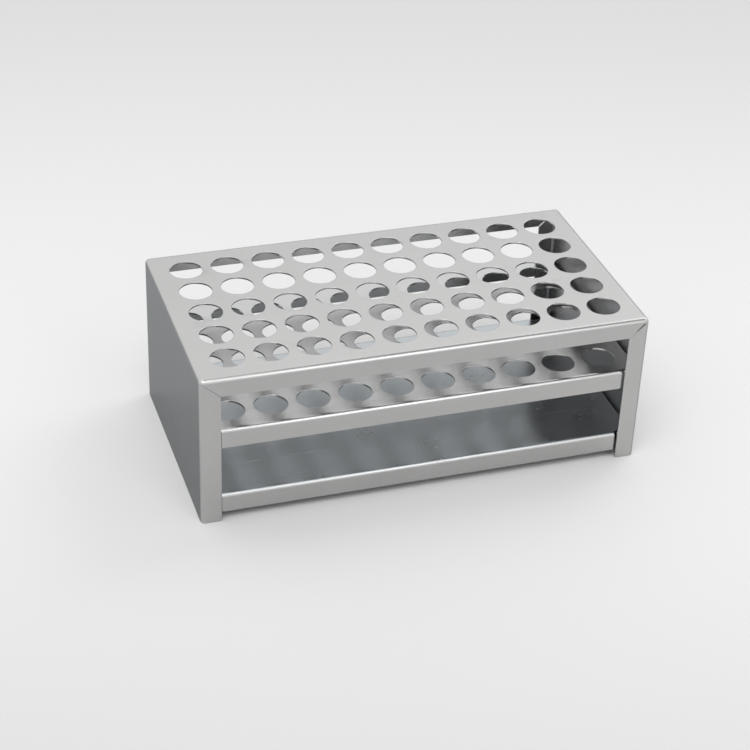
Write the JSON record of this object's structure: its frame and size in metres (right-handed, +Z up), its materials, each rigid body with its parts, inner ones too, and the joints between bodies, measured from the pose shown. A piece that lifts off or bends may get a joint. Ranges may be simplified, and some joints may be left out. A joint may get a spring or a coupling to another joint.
{
  "type": "test tube rack",
  "caption": "Folded stainless steel test tube rack: perforated top on two end walls, a matching perforated shelf and a plain shelf below.",
  "frame": {"origin": "on the table, under the middle of the rack", "axes": "+X along the length of the rack, +Y to its rear, +Z up"},
  "size_m": [0.245, 0.13, 0.088],
  "materials": {
    "housing_steel": "satin brushed",
    "shelf_steel": "satin brushed"
  },
  "bodies": {
    "root": {"housing": "housing_steel", "middle_shelf": "shelf_steel", "bottom_shelf": "shelf_steel"}
  },
  "joints": []
}
